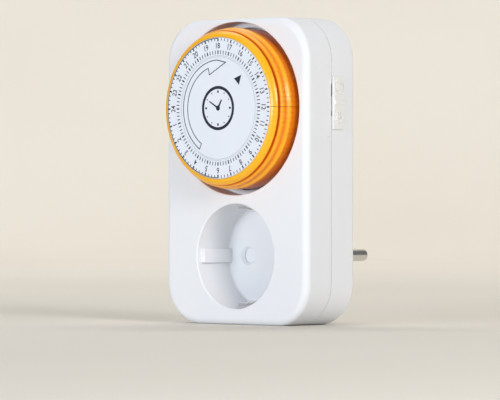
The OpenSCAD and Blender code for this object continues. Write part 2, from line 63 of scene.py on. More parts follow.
# ------------------------------------------------------------------ camera
cam_data = bpy.data.cameras.new("camera")
cam = bpy.data.objects.new("camera", cam_data)
bpy.context.scene.collection.objects.link(cam)
cam.location = (0.96314, -1.04301, 0.0212)
cam.rotation_euler = Vector((-0.685, 0.7285, 0.0)).to_track_quat("-Z", "Y").to_euler()
cam_data.sensor_width = 36.0
cam_data.lens = 268.1
cam_data.clip_start = 0.01
cam_data.clip_end = 20.0
bpy.context.scene.camera = cam


# ------------------------------------------------------------------ mesh helpers
def to_object(name, bm, body="root", mat=None, smooth=True, replaces=(), auto=34.0):
    bmesh.ops.remove_doubles(bm, verts=bm.verts, dist=1e-4)
    bmesh.ops.dissolve_degenerate(bm, edges=bm.edges, dist=1e-5)
    bmesh.ops.recalc_face_normals(bm, faces=bm.faces)
    for v in bm.verts:
        v.co *= MM
    me = bpy.data.meshes.new(name)
    bm.to_mesh(me)
    bm.free()
    ob = bpy.data.objects.new(name, me)
    bpy.context.scene.collection.objects.link(ob)
    dress(ob, body, mat, smooth, replaces, auto)
    return ob


def dress(ob, body, mat, smooth=True, replaces=(), auto=34.0):
    me = ob.data
    if smooth:
        me.shade_smooth()
        me.set_sharp_from_angle(angle=math.radians(auto))
        wn = ob.modifiers.new("weighted", "WEIGHTED_NORMAL")
        wn.keep_sharp = True
        wn.weight = 60
    if mat is not None:
        me.materials.clear()
        me.materials.append(mat)
    if body:
        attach(ob, body)
    if replaces:
        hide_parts(*replaces)


def add_revolve(bm, prof, c=DIAL, a0=0.0, a1=360.0, n=128):
    """A closed (radius, y) outline turned about the Y axis through c."""
    full = abs(a1 - a0) > 359.999
    rows = []
    for i in range(n if full else n + 1):
        a = math.radians(a0 + (a1 - a0) * i / n)
        ca, sa = math.cos(a), math.sin(a)
        rows.append([bm.verts.new((c[0] + r * ca, y, c[1] + r * sa)) for r, y in prof])
    m = len(prof)
    cnt = len(rows)
    for i in range(n):
        p, q = rows[i], rows[(i + 1) % cnt]
        for k in range(m):
            k2 = (k + 1) % m
            if prof[k][0] < 1e-6 and prof[k2][0] < 1e-6:
                continue
            if prof[k][0] < 1e-6:
                bm.faces.new((p[k], p[k2], q[k2]))
            elif prof[k2][0] < 1e-6:
                bm.faces.new((p[k], p[k2], q[k]))
            else:
                bm.faces.new((p[k], p[k2], q[k2], q[k]))
    if not full:
        bm.faces.new(rows[0])
        bm.faces.new(rows[-1][::-1])


def clean(bm):
    bmesh.ops.remove_doubles(bm, verts=bm.verts, dist=1e-4)
    bmesh.ops.recalc_face_normals(bm, faces=bm.faces)
    return bm


def arc(cx, cy, r, a0, a1, n):
    return [(cx + r * math.cos(math.radians(a0 + (a1 - a0) * i / n)),
             cy + r * math.sin(math.radians(a0 + (a1 - a0) * i / n))) for i in range(n + 1)]


def rounded(pts, radii, n=5, closed=True):
    """The outline with each corner replaced by an arc of its radius."""
    out = []
    k = len(pts)
    for i, p in enumerate(pts):
        r = radii[i] if isinstance(radii, (list, tuple)) else radii
        a, b = Vector(pts[(i - 1) % k]), Vector(pts[(i + 1) % k])
        p = Vector(p)
        u, v = (a - p), (b - p)
        if r <= 0 or u.length < 1e-6 or v.length < 1e-6:
            out.append(tuple(p))
            continue
        lu, lv = u.length, v.length
        u.normalize(); v.normalize()
        dot = max(-0.9999, min(0.9999, u.dot(v)))
        half = math.acos(dot) / 2
        if half > math.radians(88):
            out.append(tuple(p))
            continue
        t = min(r / math.tan(half), 0.49 * lu, 0.49 * lv)
        rr = t * math.tan(half)
        c = p + (u + v).normalized() * (rr / math.sin(half))
        s, e = p + u * t, p + v * t
        a0 = math.atan2(s.y - c.y, s.x - c.x)
        a1 = math.atan2(e.y - c.y, e.x - c.x)
        d = (a1 - a0 + math.pi) % (2 * math.pi) - math.pi
        for j in range(n + 1):
            a = a0 + d * j / n
            out.append((c.x + rr * math.cos(a), c.y + rr * math.sin(a)))
    return out


def rrect(t, n=14):
    """The housing's outline in (x, z), inset by t."""
    r = CORNER - t
    w = W / 2 - t
    zt, zb = UP - t - r, -DOWN + t + r
    out = []
    for cx, cz, a in ((w - r, zt, 0), (-(w - r), zt, 90), (-(w - r), zb, 180), (w - r, zb, 270)):
        out += arc(cx, cz, r, a, a + 90, n)
    return out


def add_loft(bm, loops, cap=True):
    """loops: lists of (x, y, z) of equal length, joined in order, capped at both ends."""
    rows = [[bm.verts.new(p) for p in lp] for lp in loops]
    m = len(rows[0])
    for p, q in zip(rows, rows[1:]):
        for k in range(m):
            k2 = (k + 1) % m
            bm.faces.new((p[k], p[k2], q[k2], q[k]))
    if cap:
        bm.faces.new(rows[0])
        bm.faces.new(rows[-1][::-1])


def add_box(bm, x0, x1, y0, y1, z0, z1):
    v = [bm.verts.new((x, y, z)) for x in (x0, x1) for y in (y0, y1) for z in (z0, z1)]
    for f in ((0, 1, 3, 2), (4, 6, 7, 5), (0, 4, 5, 1), (2, 3, 7, 6), (0, 2, 6, 4), (1, 5, 7, 3)):
        bm.faces.new([v[i] for i in f])


def add_prism(bm, pts, y0, y1):
    """An outline in (x, z) extruded along Y."""
    add_loft(bm, [[(x, y0, z) for x, z in pts], [(x, y1, z) for x, z in pts]])


def add_prism_x(bm, pts, x0, x1):
    """An outline in (y, z) extruded along X."""
    add_loft(bm, [[(x0, y, z) for y, z in pts], [(x1, y, z) for y, z in pts]])


def cyl_y(bm, c, r, y0, y1, n=48):
    add_revolve(bm, [(0, y0), (r, y0), (r, y1), (0, y1)], c, n=n)


def temp(bm, name="cutter"):
    clean(bm)
    me = bpy.data.meshes.new(name)
    bm.to_mesh(me)
    bm.free()
    ob = bpy.data.objects.new(name, me)
    bpy.context.scene.collection.objects.link(ob)
    return ob


def boolean(base, tool, op="DIFFERENCE"):
    """Applies one exact boolean to base and removes the tool."""
    md = base.modifiers.new("cut", "BOOLEAN")
    md.operation = op
    md.solver = "EXACT"
    md.object = tool
    dg = bpy.context.evaluated_depsgraph_get()
    me = bpy.data.meshes.new_from_object(base.evaluated_get(dg))
    base.modifiers.clear()
    old = base.data
    base.data = me
    bpy.data.meshes.remove(old)
    tm = tool.data
    bpy.data.objects.remove(tool)
    bpy.data.meshes.remove(tm)
    return base


def finish_boolean(name, ob, body, mat, replaces, auto=34.0):
    bm = bmesh.new()
    bm.from_mesh(ob.data)
    bpy.data.objects.remove(ob)
    bmesh.ops.remove_doubles(bm, verts=bm.verts, dist=2e-4)
    bmesh.ops.dissolve_degenerate(bm, edges=bm.edges, dist=1e-4)
    gaps = [e for e in bm.edges if e.is_boundary]
    if gaps:
        bmesh.ops.holes_fill(bm, edges=gaps, sides=0)
    return to_object(name, bm, body, mat, True, replaces, auto)


# ------------------------------------------------------------------ material helpers
def new_mat(name):
    m = bpy.data.materials.new(name)
    m.use_nodes = True
    nt = m.node_tree
    bsdf = nt.nodes.get("Principled BSDF")
    return m, nt, bsdf


def node(nt, kind, **inputs):
    n = nt.nodes.new(kind)
    for k, v in inputs.items():
        n.inputs[k.replace("_", " ")].default_value = v
    return n


def ramp(nt, src, stops):
    r = nt.nodes.new("ShaderNodeValToRGB")
    els = r.color_ramp.elements
    while len(els) > 1:
        els.remove(els[-1])
    els[0].position, els[0].color = stops[0][0], (*stops[0][1], 1)
    for p, c in stops[1:]:
        e = els.new(p)
        e.color = (*c, 1)
    nt.links.new(src, r.inputs["Fac"])
    return r


def srgb(r, g, b):
    def f(c):
        c /= 255.0
        return c / 12.92 if c <= 0.04045 else ((c + 0.055) / 1.055) ** 2.4
    return (f(r), f(g), f(b))


def mix_col(c, k):
    return tuple(max(0.0, min(1.0, x * k)) for x in c)


def plastic(name, col, rough=0.42, grain=2600.0, bump=0.05, var=0.03, coat=0.0, sss=0.0, sss_col=None, spec=0.5, rough_var=0.05):
    """Moulded plastic: fine spark-eroded grain, cloudy tone, slow roughness changes, faint scuffs."""
    m, nt, b = new_mat(name)
    tc = nt.nodes.new("ShaderNodeTexCoord")
    cloud = node(nt, "ShaderNodeTexNoise", Scale=55.0, Detail=4.0, Roughness=0.55)
    nt.links.new(tc.outputs["Object"], cloud.inputs["Vector"])
    rc = ramp(nt, cloud.outputs["Fac"], [(0.3, mix_col(col, 1 - var)), (0.7, mix_col(col, 1 + var * 0.6))])
    nt.links.new(rc.outputs["Color"], b.inputs["Base Color"])
    # roughness: slow patches and fine scuffs
    rn = node(nt, "ShaderNodeTexNoise", Scale=160.0, Detail=5.0, Roughness=0.6)
    nt.links.new(tc.outputs["Object"], rn.inputs["Vector"])
    mr = nt.nodes.new("ShaderNodeMapRange")
    mr.inputs["To Min"].default_value = max(0.05, rough - rough_var)
    mr.inputs["To Max"].default_value = rough + rough_var
    nt.links.new(rn.outputs["Fac"], mr.inputs["Value"])
    nt.links.new(mr.outputs["Result"], b.inputs["Roughness"])
    # grain
    g1 = node(nt, "ShaderNodeTexNoise", Scale=grain, Detail=3.0, Roughness=0.6)
    nt.links.new(tc.outputs["Object"], g1.inputs["Vector"])
    bp = nt.nodes.new("ShaderNodeBump")
    bp.inputs["Strength"].default_value = bump
    bp.inputs["Distance"].default_value = 0.0001
    nt.links.new(g1.outputs["Fac"], bp.inputs["Height"])
    # a much slower swell, as moulded walls have
    g2 = node(nt, "ShaderNodeTexNoise", Scale=38.0, Detail=2.0, Roughness=0.5)
    nt.links.new(tc.outputs["Object"], g2.inputs["Vector"])
    b2 = nt.nodes.new("ShaderNodeBump")
    b2.inputs["Strength"].default_value = 0.03
    b2.inputs["Distance"].default_value = 0.001
    nt.links.new(g2.outputs["Fac"], b2.inputs["Height"])
    nt.links.new(bp.outputs["Normal"], b2.inputs["Normal"])
    nt.links.new(b2.outputs["Normal"], b.inputs["Normal"])
    b.inputs["Specular IOR Level"].default_value = spec
    b.inputs["IOR"].default_value = 1.5
    if coat:
        b.inputs["Coat Weight"].default_value = coat
        b.inputs["Coat Roughness"].default_value = 0.12
    if sss:
        b.inputs["Subsurface Weight"].default_value = sss
        b.inputs["Subsurface Radius"].default_value = (1.0, 0.5, 0.2)
        b.inputs["Subsurface Scale"].default_value = 0.0008
    return m


def metal(name, col, rough=0.3, stretch=(1.0, 1.0, 30.0), scale=400.0, var=0.12, bump=0.06, spots=0.0, spot_col=(0.2, 0.15, 0.1)):
    """Sheet or turned metal: drawn lines, tone changes, light tarnish."""
    m, nt, b = new_mat(name)
    b.inputs["Metallic"].default_value = 1.0
    tc = nt.nodes.new("ShaderNodeTexCoord")
    mp = nt.nodes.new("ShaderNodeMapping")
    mp.inputs["Scale"].default_value = stretch
    nt.links.new(tc.outputs["Object"], mp.inputs["Vector"])
    ln = node(nt, "ShaderNodeTexNoise", Scale=scale, Detail=4.0, Roughness=0.6)
    nt.links.new(mp.outputs["Vector"], ln.inputs["Vector"])
    rc = ramp(nt, ln.outputs["Fac"], [(0.3, mix_col(col, 1 - var)), (0.7, mix_col(col, 1 + var))])
    last = rc.outputs["Color"]
    if spots:
        sp = node(nt, "ShaderNodeTexNoise", Scale=220.0, Detail=5.0, Roughness=0.65)
        nt.links.new(tc.outputs["Object"], sp.inputs["Vector"])
        fac = nt.nodes.new("ShaderNodeMapRange")
        fac.inputs["From Min"].default_value = 0.55
        fac.inputs["From Max"].default_value = 0.8
        fac.inputs["To Max"].default_value = spots
        nt.links.new(sp.outputs["Fac"], fac.inputs["Value"])
        mx = nt.nodes.new("ShaderNodeMix")
        mx.data_type = "RGBA"
        nt.links.new(fac.outputs["Result"], mx.inputs["Factor"])
        nt.links.new(last, mx.inputs[6])
        mx.inputs[7].default_value = (*spot_col, 1)
        last = mx.outputs[2]
    nt.links.new(last, b.inputs["Base Color"])
    mr = nt.nodes.new("ShaderNodeMapRange")
    mr.inputs["To Min"].default_value = max(0.05, rough - 0.09)
    mr.inputs["To Max"].default_value = rough + 0.1
    nt.links.new(ln.outputs["Fac"], mr.inputs["Value"])
    nt.links.new(mr.outputs["Result"], b.inputs["Roughness"])
    bp = nt.nodes.new("ShaderNodeBump")
    bp.inputs["Strength"].default_value = bump
    bp.inputs["Distance"].default_value = 0.0001
    nt.links.new(ln.outputs["Fac"], bp.inputs["Height"])
    nt.links.new(bp.outputs["Normal"], b.inputs["Normal"])
    return m


HOUSING = plastic("housing_abs", srgb(233, 235, 239), rough=0.68, grain=2400, bump=0.09, var=0.012, spec=0.28)
DIAL_WHITE = plastic("dial_white", srgb(230, 234, 243), rough=0.36, grain=3500, bump=0.03, var=0.01)
INNER_WHITE = plastic("inner_white", srgb(224, 226, 228), rough=0.5, grain=2000, bump=0.08, var=0.02)
SWITCH_WHITE = plastic("switch_white", srgb(236, 236, 235), rough=0.4, grain=3000, bump=0.05, var=0.015)
ORANGE = plastic("segment_orange", srgb(255, 184, 14), rough=0.36, grain=1800, bump=0.05, var=0.03, sss=0.08, coat=0.22, spec=0.5)


def depth_tone(mat, stops, y0, span):
    """Multiplies the colour by a ramp along Y, from y0 over span, in mm; used to paint shade and highlight bands into
    the colour.
    """
    nt = mat.node_tree
    b = nt.nodes["Principled BSDF"]
    src = b.inputs["Base Color"].links[0].from_socket
    tc = nt.nodes.new("ShaderNodeTexCoord")
    sep = nt.nodes.new("ShaderNodeSeparateXYZ")
    nt.links.new(tc.outputs["Object"], sep.inputs["Vector"])
    mr = nt.nodes.new("ShaderNodeMapRange")
    mr.inputs["From Min"].default_value = y0 * MM
    mr.inputs["From Max"].default_value = (y0 + span) * MM
    nt.links.new(sep.outputs["Y"], mr.inputs["Value"])
    rc = ramp(nt, mr.outputs["Result"], [(p / span, c) for p, c in stops])
    mul = nt.nodes.new("ShaderNodeMix")
    mul.data_type = "RGBA"
    mul.blend_type = "MULTIPLY"
    mul.inputs["Factor"].default_value = 1.0
    nt.links.new(src, mul.inputs[6])
    nt.links.new(rc.outputs["Color"], mul.inputs[7])
    nt.links.new(mul.outputs[2], b.inputs["Base Color"])


# painted light and shade on the orange segments: a dark painted shadow in the groove behind the front band, lighter
# painted highlight bands on the lit ridge and flank, darker redder bands where the sides turn away from the light, and
# painted shade on the hidden rear part to cut its orange bounce in the well
depth_tone(ORANGE, [(0.0, (1, 1, 1)), (1.5, (1, 0.97, 0.95)), (2.15, (0.9, 0.55, 0.4)), (2.3, (0.72, 0.25, 0.12)), (2.98, (0.74, 0.27, 0.14)),
                    (3.15, (1, 0.85, 0.7)), (3.9, (1, 0.84, 0.7)), (5.0, (0.97, 0.6, 0.4)), (6.0, (0.95, 0.52, 0.36)), (6.35, (1, 0.9, 0.9)),
                    (7.2, (1, 0.85, 0.8)), (7.9, (0.94, 0.55, 0.45)), (9.6, (0.88, 0.47, 0.38)), (15.0, (0.82, 0.4, 0.3)), (16.6, (0.5, 0.22, 0.16))], FACE, 18.0)
DARK = plastic("dark_plastic", srgb(44, 47, 52), rough=0.5, grain=1600, bump=0.1, var=0.08)
ACETAL = plastic("gear_acetal", srgb(232, 226, 206), rough=0.38, grain=1500, bump=0.05, var=0.03, sss=0.1)
CLUTCH = plastic("clutch_acetal", srgb(186, 62, 40), rough=0.4, grain=1500, bump=0.06, var=0.05)
LEAD = plastic("lead_blue", srgb(40, 72, 150), rough=0.45, grain=1200, bump=0.08, var=0.05)
INK = plastic("print_ink", srgb(38, 40, 58), rough=0.5, grain=4000, bump=0.1, var=0.15, spec=0.3)
INK_GREY = plastic("print_grey", srgb(172, 176, 184), rough=0.5, grain=4000, bump=0.1, var=0.08, spec=0.3)
STEEL = metal("zinc_steel", (0.62, 0.63, 0.65), rough=0.36, scale=260, spots=0.25, spot_col=(0.42, 0.42, 0.43))
SCREW = metal("screw_zinc", (0.56, 0.57, 0.58), rough=0.3, scale=500, stretch=(1, 12, 1), spots=0.3, spot_col=(0.35, 0.33, 0.3))
NICKEL = metal("nickel", (0.76, 0.74, 0.70), rough=0.2, scale=420, stretch=(1, 22, 1), var=0.06, bump=0.03, spots=0.2, spot_col=(0.5, 0.46, 0.4))
BRASS = metal("brass", (0.80, 0.58, 0.24), rough=0.27, scale=320, stretch=(1, 1, 16), var=0.1, spots=0.35, spot_col=(0.45, 0.28, 0.1))
COPPER = metal("copper_wire", (0.78, 0.36, 0.18), rough=0.25, scale=900, stretch=(1, 9, 1), var=0.2, bump=0.25)
FERRITE = metal("ferrite", (0.11, 0.11, 0.12), rough=0.55, scale=800, stretch=(1, 1, 1), var=0.25, bump=0.25)
FERRITE.node_tree.nodes["Principled BSDF"].inputs["Metallic"].default_value = 0.3

SLOT_MAT = {"housing": HOUSING, "dial_white": DIAL_WHITE, "inner_white": INNER_WHITE, "switch_white": SWITCH_WHITE,
            "segment_orange": ORANGE, "dark_plastic": DARK, "gear_plastic": ACETAL, "clutch_red": CLUTCH,
            "lead_blue": LEAD, "steel": STEEL, "screw_steel": SCREW, "nickel": NICKEL, "brass": BRASS,
            "copper": COPPER, "magnet": FERRITE}
for sp in frame["record"]["subparts"]:
    ob = NODES[sp["node"]]
    ob.data.materials.clear()
    ob.data.materials.append(SLOT_MAT[sp["material_slot"]])


# ------------------------------------------------------------------ front shell
def block_loops(sign, face_y, edge, part_y, lip):
    """Rounded block from its face to the parting plane; sign +1 when depth runs along +Y."""
    loops = []
    n = 9
    for i in range(n + 1):
        t = math.radians(90.0 * i / n)
        ins, dep = edge * (1 - math.sin(t)), edge * (1 - math.cos(t))
        loops.append([(x, face_y + sign * dep, z) for x, z in rrect(ins)])
    for ins, y in ((0.0, part_y - sign * lip), (lip * 0.3, part_y - sign * lip * 0.3), (lip, part_y)):
        loops.append([(x, y, z) for x, z in rrect(ins)])
    return loops


def well_profile():
    rf = 0.55
    e = 0.004
    p = [(0, FRONT - 2), (WELL_R + rf, FRONT - 2)]
    p += arc(WELL_R + rf, FRONT + rf - e, rf, 270, 180, 7)
    p += arc(WELL_R - 0.35, LEDGE - 0.35, 0.35, 0, 90, 4)
    p += arc(CHANNEL_R + 0.18, LEDGE + 0.18, 0.18, 270, 180, 3)
    p += [(CHANNEL_R, WELL), (0, WELL)]
    return p


def recess_profile():
    rf = 0.6
    e = 0.004
    p = [(0, FRONT - 2), (RECESS_R + rf, FRONT - 2)]
    p += arc(RECESS_R + rf, FRONT + rf - e, rf, 270, 180, 8)
    p += arc(RECESS_R - 0.8, RECESS - 0.8, 0.8, 0, 90, 6)
    p += [(0, RECESS)]
    return p


def build_front():
    bm = bmesh.new()
    add_loft(bm, block_loops(1, FRONT, FRONT_EDGE, PART - 0.07, 0.3))
    shell = temp(bm, "front_work")
    # inside
    bm = bmesh.new()
    add_loft(bm, [[(x, FRONT + WALL, z) for x, z in rrect(WALL + 0.8)],
                  [(x, FRONT + WALL + 0.8, z) for x, z in rrect(WALL)],
                  [(x, PART + 2, z) for x, z in rrect(WALL)]])
    cav = temp(bm)
    bm = bmesh.new()
    cyl_y(bm, DIAL, WELL_R + 1.2, FRONT, FLOOR, 128)
    boolean(cav, temp(bm))
    bm = bmesh.new()
    cyl_y(bm, (0, 0), RECESS_R + 1.5, FRONT, PART + 3, 96)
    boolean(cav, temp(bm))
    bm = bmesh.new()
    for p in SCREWS:
        cyl_y(bm, p, 2.85, FRONT, PART - 0.05, 32)
    boolean(cav, temp(bm))
    boolean(shell, cav)
    # outlet cup and shutter hub
    bm = bmesh.new()
    add_revolve(bm, rounded([(0, PART - 3), (RECESS_R + 1.5, PART - 3), (RECESS_R + 1.5, CUP), (0, CUP)], [0, 0, 0.5, 0]), (0, 0), n=128)
    boolean(shell, temp(bm), "UNION")
    bm = bmesh.new()
    cyl_y(bm, (0, 0), 2.0, CUP - 1, CUP + 2.8, 40)
    boolean(shell, temp(bm), "UNION")
    # dial well and recess, with rounded rims
    bm = bmesh.new()
    add_revolve(bm, well_profile(), DIAL, n=224)
    boolean(shell, temp(bm))
    bm = bmesh.new()
    add_revolve(bm, recess_profile(), (0, 0), n=176)
    boolean(shell, temp(bm))
    # side guides of the recess, with rounded noses
    bm = bmesh.new()
    for s in (-1, 1):
        out = [(s * 17.9, -2.7), (s * 20.3, -2.7), (s * 20.3, 2.7), (s * 17.9, 2.7)]
        pts = rounded(out, [0.4, 0, 0, 0.4], 4)
        top = rounded([(s * 18.2, -2.4), (s * 20.3, -2.7), (s * 20.3, 2.7), (s * 18.2, 2.4)], [0.3, 0, 0, 0.3], 4)
        add_loft(bm, [[(x, FRONT + 2.0, z) for x, z in top], [(x, FRONT + 2.4, z) for x, z in pts], [(x, RECESS + 0.4, z) for x, z in pts]])
    boolean(shell, temp(bm), "UNION")
    # through holes: pin holes with funnel rims, clip slots, bearing, drive, lever slot, screws
    for s in (-1, 1):
        bm = bmesh.new()
        add_revolve(bm, [(0, RECESS - 1), (3.7, RECESS - 1)] + [(3.7, RECESS - 0.004), (2.8, RECESS + 0.9), (2.8, CUP + 1), (0, CUP + 1)], (s * PX, 0), n=64)
        boolean(shell, temp(bm))
    bm = bmesh.new()
    for s in (-1, 1):
        z0, z1 = (17.0, 19.1) if s > 0 else (-19.1, -17.0)
        add_box(bm, -2.4, 2.4, RECESS - 1, CUP + 1, z0, z1)
    cyl_y(bm, DIAL, 3.05, WELL - 1, FLOOR + 1, 48)
    cyl_y(bm, (8.75, 70.755), 1.6, WELL - 1, FLOOR + 1, 32)
    add_box(bm, 26.3, 30.7, WELL - 1, FLOOR + 1, 51.6, 64.8)
    for p in SCREWS:
        cyl_y(bm, p, 1.5, FRONT + 4, PART + 1, 24)
    boolean(shell, temp(bm))
    # pry marks at the parting line: shallow triangular scoops, deepest away from it
    bm = bmesh.new()
    for za, zb, zc in ((74.4, 71.0, 71.2), (41.6, 45.0, 44.8)):
        lo = [(36.55, PART + 0.4, za), (36.55, PART + 0.4, zb), (35.3, PART - 2.6, zc)]
        add_loft(bm, [lo, [(37.6, y, z) for x, y, z in lo]])
    boolean(shell, temp(bm))
    return finish_boolean("visual_front_shell", shell, "root", HOUSING, ("front_shell",))


# ------------------------------------------------------------------ rear shell
def build_rear():
    bm = bmesh.new()
    add_loft(bm, block_loops(-1, 0.0, REAR_EDGE, PART + 0.07, 0.3))
    shell = temp(bm, "rear_work")
    bm = bmesh.new()
    add_loft(bm, [[(x, PART - 2, z) for x, z in rrect(WALL)],
                  [(x, -WALL - 0.8, z) for x, z in rrect(WALL)],
                  [(x, -WALL, z) for x, z in rrect(WALL + 0.8)]])
    cav = temp(bm)
    bm = bmesh.new()
    for p in SCREWS:
        cyl_y(bm, p, 3.2, PART + 0.05, 1, 36)
    add_box(bm, 22.2, 24, -11.6, 1, 36.9, 41.1)
    add_box(bm, 30.8, 32.2, -11.6, 1, 36.9, 41.1)
    boolean(cav, temp(bm))
    boolean(shell, cav)
    # plug boss with a rounded end and a small fillet at its root
    bm = bmesh.new()
    prof = [(0, -1.5), (BOSS_R + 0.6, -1.5), (BOSS_R + 0.6, -0.0)]
    prof += arc(BOSS_R + 0.6, 0.6, 0.6, 270, 180, 5)[0:]
    prof += arc(BOSS_R - 0.9, BOSS - 0.9, 0.9, 0, 90, 6)
    prof += [(0, BOSS)]
    add_revolve(bm, prof, (0, 0), n=160)
    boolean(shell, temp(bm), "UNION")
    # locating rib
    bm = bmesh.new()
    add_loft(bm, [[(x, PART - 1.2, z) for x, z in rrect(WALL / 2 + 0.25)], [(x, PART - 1.0, z) for x, z in rrect(WALL / 2 + 0.1)], [(x, PART + 1, z) for x, z in rrect(WALL / 2 + 0.1)]])
    rib = temp(bm)
    bm = bmesh.new()
    add_loft(bm, [[(x, PART - 2, z) for x, z in rrect(WALL)], [(x, PART + 2, z) for x, z in rrect(WALL)]])
    boolean(rib, temp(bm))
    bm = bmesh.new()
    add_box(bm, -17.2, 17.2, PART - 2, PART + 0.04, UP - 12, UP + 1)
    boolean(rib, temp(bm))
    boolean(shell, rib, "UNION")
    # hollow boss, pin holes, grooves
    bm = bmesh.new()
    cyl_y(bm, (0, 0), 15, -WALL - 1, BOSS - 2, 96)
    boolean(shell, temp(bm))
    bm = bmesh.new()
    for s in (-1, 1):
        cyl_y(bm, (s * PX, 0), PIN_R + 0.05, BOSS - 3, BOSS + 1, 48)
        g = rounded([(s * (BOSS_R - 2.2), -2.8), (s * (BOSS_R + 1.5), -2.8), (s * (BOSS_R + 1.5), 2.8), (s * (BOSS_R - 2.2), 2.8)], [0.5, 0, 0, 0.5], 4)
        add_prism(bm, g, 0.6, BOSS + 1)
        z0, z1 = (17.1, 20) if s > 0 else (-20, -17.1)
        add_box(bm, -2.7, 2.7, -WALL - 1, BOSS - 1, z0, z1)
    boolean(shell, temp(bm))
    bm = bmesh.new()
    for p in SCREWS:
        add_revolve(bm, [(0, PART - 2), (1.65, PART - 2), (1.65, -2.6), (2.8, -2.6), (2.8, -0.35), (3.15, 0.004), (3.15, 1), (0, 1)], p, n=48)
    boolean(shell, temp(bm))
    bm = bmesh.new()
    for s in (1,):
        rows = [(21.0, 33.0)]
        for x0, x1 in rows:
            pts = [(-9.5 + 1.25 * math.cos(math.radians(a)), 39 + 1.25 * math.sin(math.radians(a))) for a in range(0, 360, 12)]
            add_prism_x(bm, pts, x0, x1)
    boolean(shell, temp(bm))
    # slot for the slide button's stem
    bm = bmesh.new()
    add_box(bm, W / 2 - WALL - 1, W / 2 + 1, PART - 2, PART + 2.5, 52.5, 64.5)
    boolean(shell, temp(bm))
    return finish_boolean("visual_rear_shell", shell, "root", HOUSING, ("rear_shell",))


build_front()
build_rear()


# ------------------------------------------------------------------ segments
SEG = [(26.62, FACE + 0.0), (27.75, FACE + 0.42), (28.5, FACE + 1.15), (28.86, FACE + 1.75), (28.86, FACE + 2.12), (27.5, FACE + 2.25),
       (27.5, FACE + 2.92), (29.2, FACE + 3.02), (29.66, FACE + 3.5), (29.76, FACE + 4.3), (29.6, FACE + 5.2), (29.48, FACE + 5.85),
       (29.78, FACE + 6.3), (30.3, FACE + 6.95), (30.42, FACE + 7.6), (30.3, FACE + 8.7), (30.18, FACE + 10.0),
       (30.18, FACE + 17.18), (26.62, FACE + 17.18)]
SEG_R = [0.1, 0.9, 0.9, 0.25, 0.16, 0.12, 0.12, 0.2, 0.4, 0.9, 0.9, 0.3, 0.35, 0.4, 0.5, 1.0, 1.0, 0.15, 0.1]


def inset_outline(pts, d):
    """Moves each point of the closed outline inwards by d."""
    k = len(pts)
    area = sum(pts[i][0] * pts[(i + 1) % k][1] - pts[(i + 1) % k][0] * pts[i][1] for i in range(k))
    s = 1.0 if area > 0 else -1.0
    out = []
    for i in range(k):
        a, b = Vector(pts[i - 1]), Vector(pts[(i + 1) % k])
        t = (b - a)
        if t.length < 1e-9:
            out.append(pts[i])
            continue
        t.normalize()
        out.append((pts[i][0] - s * t.y * d, pts[i][1] + s * t.x * d))
    return out


SEG_OUT = rounded(SEG, SEG_R, 3)
SEG_IN1 = inset_outline(SEG_OUT, 0.04)


def add_sweep(bm, stations):
    """stations: (angle in degrees, closed (r, y) outline). Joined in order, capped."""
    loops = []
    for a, prof in stations:
        ca, sa = math.cos(math.radians(a)), math.sin(math.radians(a))
        loops.append([(DIAL[0] + r * ca, y, DIAL[1] + r * sa) for r, y in prof])
    add_loft(bm, loops)


LUG = rounded([(25.36, FACE + 7.42), (26.7, FACE + 7.42), (26.7, FACE + 10.38), (25.36, FACE + 10.38)], 0.15, 3)
for h in range(1, 25):
    bm = bmesh.new()
    for i in range(4):
        a0 = (h - 12) * 15 + i * 3.75
        g0, g1 = 0.035, 0.035
        if h == 12 and i == 0:
            g0 = 0.26
        s, t = a0 + g0, a0 + 3.75 - g1
        st = [(s, SEG_IN1), (s + 0.06, SEG_OUT)]
        for k in range(1, 4):
            st.append((s + 0.06 + (t - s - 0.12) * k / 4.0, SEG_OUT))
        st += [(t - 0.06, SEG_OUT), (t, SEG_IN1)]
        add_sweep(bm, st)
        add_sweep(bm, [(a0 + 0.6, LUG), (a0 + 1.875, LUG), (a0 + 3.15, LUG)])
    to_object("visual_segments_h%02d" % h, bm, "hour_%02d" % h, ORANGE, True, ("segments_h%02d" % h,), 32.0)


# ------------------------------------------------------------------ number ring and centre disc
bm = bmesh.new()
add_revolve(bm, rounded([(19.68, FACE), (26.5, FACE), (26.5, FACE + 1), (19.68, FACE + 1)], [0.12, 0.18, 0.05, 0.05], 4), DIAL, n=240)
to_object("visual_number_ring", bm, "dial", DIAL_WHITE, True, ("number_ring",))

bm = bmesh.new()
add_revolve(bm, [(0, FACE)] + arc(19.61 - 0.12, FACE + 0.12, 0.12, -90, 0, 5) +
            [(19.61, FACE + 1.0), (5, FACE + 1.0), (5, FACE + 4.9), (3.06, FACE + 4.9), (3.06, FACE + 1.4), (0, FACE + 1.4)], DIAL, n=240)
to_object("visual_centre_disc", bm, "root", DIAL_WHITE, True, ("centre_disc",))

INK_Y0, INK_Y1 = FACE - 0.018, FACE + 0.004


def polar(r, a):
    return (DIAL[0] + r * math.cos(math.radians(a)), DIAL[1] + r * math.sin(math.radians(a)))


def add_tick(bm, r0, r1, a, w):
    """A printed stroke along a radius."""
    ca, sa = math.cos(math.radians(a)), math.sin(math.radians(a))
    p = []
    for r, s in ((r0, -1), (r1, -1), (r1, 1), (r0, 1)):
        x, z = r * ca - s * w / 2 * sa, r * sa + s * w / 2 * ca
        p.append((DIAL[0] + x, DIAL[1] + z))
    add_prism(bm, p, INK_Y0, INK_Y1)


def add_band(bm, r0, r1, a0, a1, n):
    pts = [polar(r1, a0 + (a1 - a0) * i / n) for i in range(n + 1)] + [polar(r0, a1 - (a1 - a0) * i / n) for i in range(n + 1)]
    add_prism(bm, pts, INK_Y0, INK_Y1)


def ring_band(bm, r0, r1, n=160, c=DIAL, y0=INK_Y0, y1=INK_Y1):
    add_revolve(bm, [(r0, y0), (r1, y0), (r1, y1), (r0, y1)], c, n=n)


